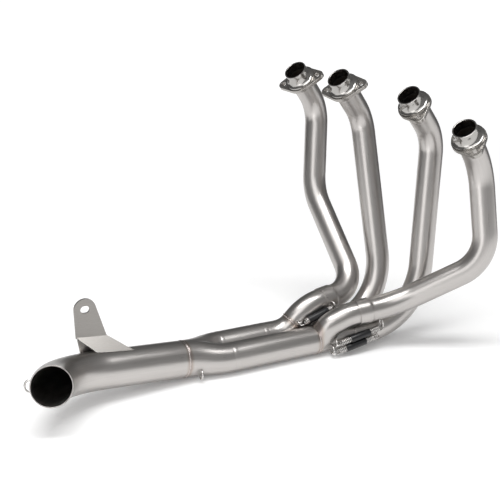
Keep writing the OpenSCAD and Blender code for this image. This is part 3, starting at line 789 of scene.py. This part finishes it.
def springPoints(length, twist):
    h, w = springShape["hook"], springShape["wire"]
    radius = springShape["od"] / 2 - w
    rise = h + springShape["neck"]
    points = []
    for k in range(hookArc["count"]):
        a = math.radians(hookArc["leftFrom"] + hookArc["step"] * k)
        points.append((h * math.sin(a), 0, w + h - h * math.cos(a)))
    steps = springShape["turns"] * springShape["turnSteps"]
    for i in range(steps + 1):
        a = (2 * math.pi * springShape["turns"] + twist) * i / steps
        points.append((radius * math.cos(a), radius * math.sin(a), rise + (length - 2 * rise) * i / steps))
    for k in range(hookArc["count"]):
        a = math.radians(hookArc["rightFrom"] - hookArc["step"] * k)
        out = h * math.sin(a)
        points.append((out * math.cos(twist), out * math.sin(twist), length - w - h + h * math.cos(a)))
    return points


def makeSpring(number, facts):
    left, right = vec(facts["left"]), vec(facts["right"])
    z = (right - left).normalized()
    y = z.cross(Vector(facts["away"])).normalized()
    x = y.cross(z)
    points = springPoints((right - left).length / mm, math.radians(facts["twist"]))
    path = [left + (x * p[0] + y * p[1] + z * p[2]) * mm for p in points]
    dress(wirePiece(f"spring_{number}_coil", path, springShape["wire"]), "springSteel", f"spring_{number}")
    half, edge, innerEdge = sleeveShape["length"] / 2, sleeveShape["edge"], sleeveShape["innerEdge"]
    outer, inner = sleeveShape["od"] / 2, springShape["od"] / 2 + sleeveShape["gap"]
    profile = [(inner, -half + innerEdge), (inner + innerEdge, -half)]
    profile += cornerPoints(outer, -half, edge, 1) + cornerPoints(outer, half, edge, -1)
    profile += [(inner + innerEdge, half), (inner, half - innerEdge)]
    sleeve = turnedPiece(f"sleeve_{number}_rubber", profile, (left + right) / 2, z, 64)
    dress(sleeve, "sleeveRubber", f"sleeve_{number}")


for number, facts in springs.items():
    makeSpring(number, facts)


def makeLoop(node, top, a, b, radius):
    axis = (b - a).normalized()
    centre = a + axis * (top - a).dot(axis)
    out = (top - centre).normalized()
    side = axis.cross(out)
    spread = math.radians(loopShape["spread"])
    foot = (radius + loopShape["foot"]) * mm
    handle = ((top - centre).length / math.cos(spread) - foot) / loopShape["bulge"]
    u = out * math.cos(spread) + side * math.sin(spread)
    v = out * math.cos(spread) - side * math.sin(spread)
    path = []
    for k in range(loopShape["steps"] + 1):
        t = k / loopShape["steps"]
        path.append(centre + u * foot * (1 - t) ** 3 + u * (foot + handle) * 3 * (1 - t) ** 2 * t
                    + v * (foot + handle) * 3 * (1 - t) * t * t + v * foot * t ** 3)
    return dress(wirePiece(node + "_wire", path, loopShape["wire"]), "springSteel", node)


def hooked(p, q):
    return towards(vec(p), vec(q), 2 * springShape["wire"] + loopShape["wire"] + loopShape["gap"])


def blendedRadius(p, a, b, radiusA, radiusB):
    return radiusA + (radiusB - radiusA) * (p - a).dot((b - a).normalized()) / (b - a).length


# On which line each loop stands, and the tube's radius at both ends of that line
linePlaces = ("upperFrom", "upperCorner", "upperEnd", "lowerFrom", "lowerEnd", "ring")
rear = {k: vec(collectors["rear_collector"][k]) for k in linePlaces}
front = {k: vec(collectors["front_collector"][k]) for k in linePlaces}
primary, middle = tubeSizes["primary"], tubeSizes["middle"]
bell = primary + slipJoint["gap"] + tubeSizes["wall"]
hookLoops = {
    "primary_loop_1": {"spring": 1, "end": "right", "line": (rear["upperCorner"], rear["upperFrom"]),
                       "radii": (bell, bell)},
    "primary_loop_3": {"spring": 3, "end": "right", "line": (front["lowerEnd"], front["lowerFrom"]),
                       "radii": (primary, primary)},
    "primary_loop_4": {"spring": 4, "end": "right", "line": (front["upperCorner"], front["upperFrom"]),
                       "radii": (primary, primary)},
    "collector_loop_1": {"spring": 1, "end": "left", "line": (rear["upperEnd"], rear["upperCorner"]),
                         "radii": (primary, primary)},
    "collector_loop_3": {"spring": 3, "end": "left", "line": (front["lowerEnd"], front["ring"]),
                         "radii": (primary, middle)},
    "collector_loop_4": {"spring": 4, "end": "left", "line": (front["lowerEnd"], front["ring"]),
                         "radii": (primary + loopShape["lift"], middle + loopShape["lift"])},
}
for node, facts in hookLoops.items():
    spring = springs[facts["spring"]]
    top = hooked(spring[facts["end"]], spring["left" if facts["end"] == "right" else "right"])
    makeLoop(node, top, *facts["line"], blendedRadius(top, *facts["line"], *facts["radii"]))

# The two spare loops, under the last merge and beside the mouth of the outlet
spareLoops = {"mergeTop": (-55, -42, 7), "mouthBack": 18.0, "mouthHeight": 8.0}
mergeTop = vec(spareLoops["mergeTop"])
makeLoop("merge_loop", mergeTop, frontInlet, outletStart,
         blendedRadius(mergeTop, frontInlet, outletStart, middle, tubeSizes["outlet"]))
mouthAxis = (outletMouth - outletCorner).normalized()
outward = (outletAxis - mouthAxis * outletAxis.dot(mouthAxis)).normalized()
sag = spareLoops["mouthBack"] ** 2 / (2 * outletRoute["bend"])
mouthLoopFoot = outletMouth - mouthAxis * spareLoops["mouthBack"] * mm - outward * sag * mm
mouthLoopTop = mouthLoopFoot + outward * (tubeSizes["outlet"] + spareLoops["mouthHeight"]) * mm
makeLoop("outlet_loop", mouthLoopTop, mouthLoopFoot, mouthLoopFoot + mouthAxis, tubeSizes["outlet"])
print("springs and loops made")


# Floor, lamps and dark cards that shape the reflections
def plane(name, size, location, target=None):
    w, h = size[0] / 2, size[1] / 2
    piece = newPiece(name, [(-w, -h, 0), (w, -h, 0), (w, h, 0), (-w, h, 0)], [(0, 1, 2, 3)], False)
    piece.location = location
    if target is not None:
        piece.rotation_euler = (Vector(target) - Vector(location)).to_track_quat("Z", "Y").to_euler()
    return piece


studio = {"floorColour": (0.9, 0.9, 0.9), "floorSize": 70.0, "nearGlow": 0.08, "farGlow": 0.67,
          "glowReach": 3.0, "worldBack": 0.1, "worldFront": 0.34,
          "sunAngle": 75.0, "sunStrength": 0.8, "sunTilt": (-16.0, -4.0)}
lamps = {"key": {"place": (-0.9, -1.23, 1.7), "size": (1.5, 1.2), "power": 9.0},
         "top": {"place": (-0.19, -0.37, 2.1), "size": (1.9, 0.55), "power": 28.0},
         "strip": {"place": (-0.82, -0.65, 0.4), "size": (0.6, 0.9), "power": 2.4}}
cards = {"backLeft": {"place": (-0.74, 1.07, 0.4), "size": (1.1, 1.1), "glow": 0.12},
         "backRight": {"place": (1.31, 0.32, 0.4), "size": (1.1, 1.1), "glow": 0.12}}
objectMiddle = (0, 0, 0.15)
cardsAim = (0.2, 0)


def makeFloor():
    floor = plane("studioFloor", (studio["floorSize"], studio["floorSize"]), (0, 0, 0))
    material, s, surface = newMaterial("floorWhite")
    surface.inputs["Base Color"].default_value = (*studio["floorColour"], 1)
    surface.inputs["Roughness"].default_value = 0.9
    surface.inputs["Specular IOR Level"].default_value = 0.1
    # Painted light: the floor glows for camera and reflected rays, faintly near the middle and more farther
    # out, so it shows white far off while the shadow under the header stays dark
    rays = s.add("ShaderNodeLightPath")
    mirrored = s.maths("MAXIMUM", rays.outputs["Is Glossy Ray"], rays.outputs["Is Transmission Ray"])
    seen = s.maths("MAXIMUM", rays.outputs["Is Camera Ray"], mirrored)
    length = s.add("ShaderNodeVectorMath", operation="LENGTH")
    s.link(s.add("ShaderNodeTexCoord").outputs["Object"], length.inputs[0])
    away = s.maths("MINIMUM", s.maths("DIVIDE", length.outputs["Value"], studio["glowReach"]), 1.0)
    more = s.maths("MULTIPLY", away, studio["farGlow"] - studio["nearGlow"])
    glow = s.maths("ADD", more, studio["nearGlow"])
    surface.inputs["Emission Color"].default_value = (1, 1, 1, 1)
    s.link(s.maths("MULTIPLY", seen, glow), surface.inputs["Emission Strength"])
    floor.data.materials.append(material)


def addLamp(name, light, place, aim):
    lamp = bpy.data.objects.new(name, light)
    bpy.context.scene.collection.objects.link(lamp)
    lamp.location = place
    lamp.rotation_euler = (Vector(aim) - Vector(place)).to_track_quat("-Z", "Y").to_euler()
    return lamp


def makeLamps():
    for name, facts in lamps.items():
        light = bpy.data.lights.new(name + "Lamp", "AREA")
        light.shape = "RECTANGLE"
        light.size, light.size_y = facts["size"]
        light.energy = facts["power"]
        addLamp(name + "Lamp", light, facts["place"], objectMiddle)
    sun = bpy.data.lights.new("ceilingSun", "SUN")
    sun.angle = math.radians(studio["sunAngle"])
    sun.energy = studio["sunStrength"]
    lamp = addLamp("ceilingSun", sun, (0, 0, 3), (0, 0, 0))
    lamp.rotation_euler = [math.radians(a) for a in (*studio["sunTilt"], 0)]
    lamp.visible_glossy = False


# Dark cards on both sides behind the header, which only its metal sees
def makeCards():
    for name, facts in cards.items():
        material, s, surface = newMaterial(f"card_{name}_grey")
        surface.inputs["Base Color"].default_value = (0.02, 0.02, 0.02, 1)
        surface.inputs["Roughness"].default_value = 0.9
        surface.inputs["Emission Color"].default_value = (1, 1, 1, 1)
        surface.inputs["Emission Strength"].default_value = facts["glow"]
        card = plane("card_" + name, facts["size"], facts["place"], (*cardsAim, facts["place"][2]))
        card.data.materials.append(material)
        card.visible_camera = False
        card.visible_shadow = False
        card.visible_diffuse = False


def makeWorld():
    world = bpy.data.worlds.new("studioWorld")
    bpy.context.scene.world = world
    world.use_nodes = True
    world.node_tree.nodes.clear()
    s = Shader(world.node_tree)
    light = s.add("ShaderNodeBackground")
    light.inputs["Color"].default_value = (1, 1, 1, 1)
    parts = s.add("ShaderNodeSeparateXYZ")
    s.link(s.add("ShaderNodeTexCoord").outputs["Generated"], parts.inputs[0])
    front = s.maths("ADD", s.maths("MULTIPLY", parts.outputs[1], -0.5), 0.5)
    rise = s.maths("MULTIPLY", front, studio["worldFront"] - studio["worldBack"])
    s.link(s.maths("ADD", rise, studio["worldBack"]), light.inputs["Strength"])
    s.link(light.outputs[0], s.add("ShaderNodeOutputWorld").inputs[0])


makeFloor()
makeCards()
makeWorld()
makeLamps()

view = {"place": (-575.8, -1173.0, 588.0), "turn": -26.76, "down": 17.77, "lens": 65.7}
camera = bpy.data.objects.new("photoCamera", bpy.data.cameras.new("photoCamera"))
camera.data.lens = view["lens"]
camera.data.sensor_width = 36
camera.location = Vector(view["place"]) * mm
camera.rotation_euler = (math.radians(90 - view["down"]), 0, math.radians(view["turn"]))
bpy.context.scene.collection.objects.link(camera)
bpy.context.scene.camera = camera
bpy.context.scene.view_settings.view_transform = "Standard"
print("studio made")
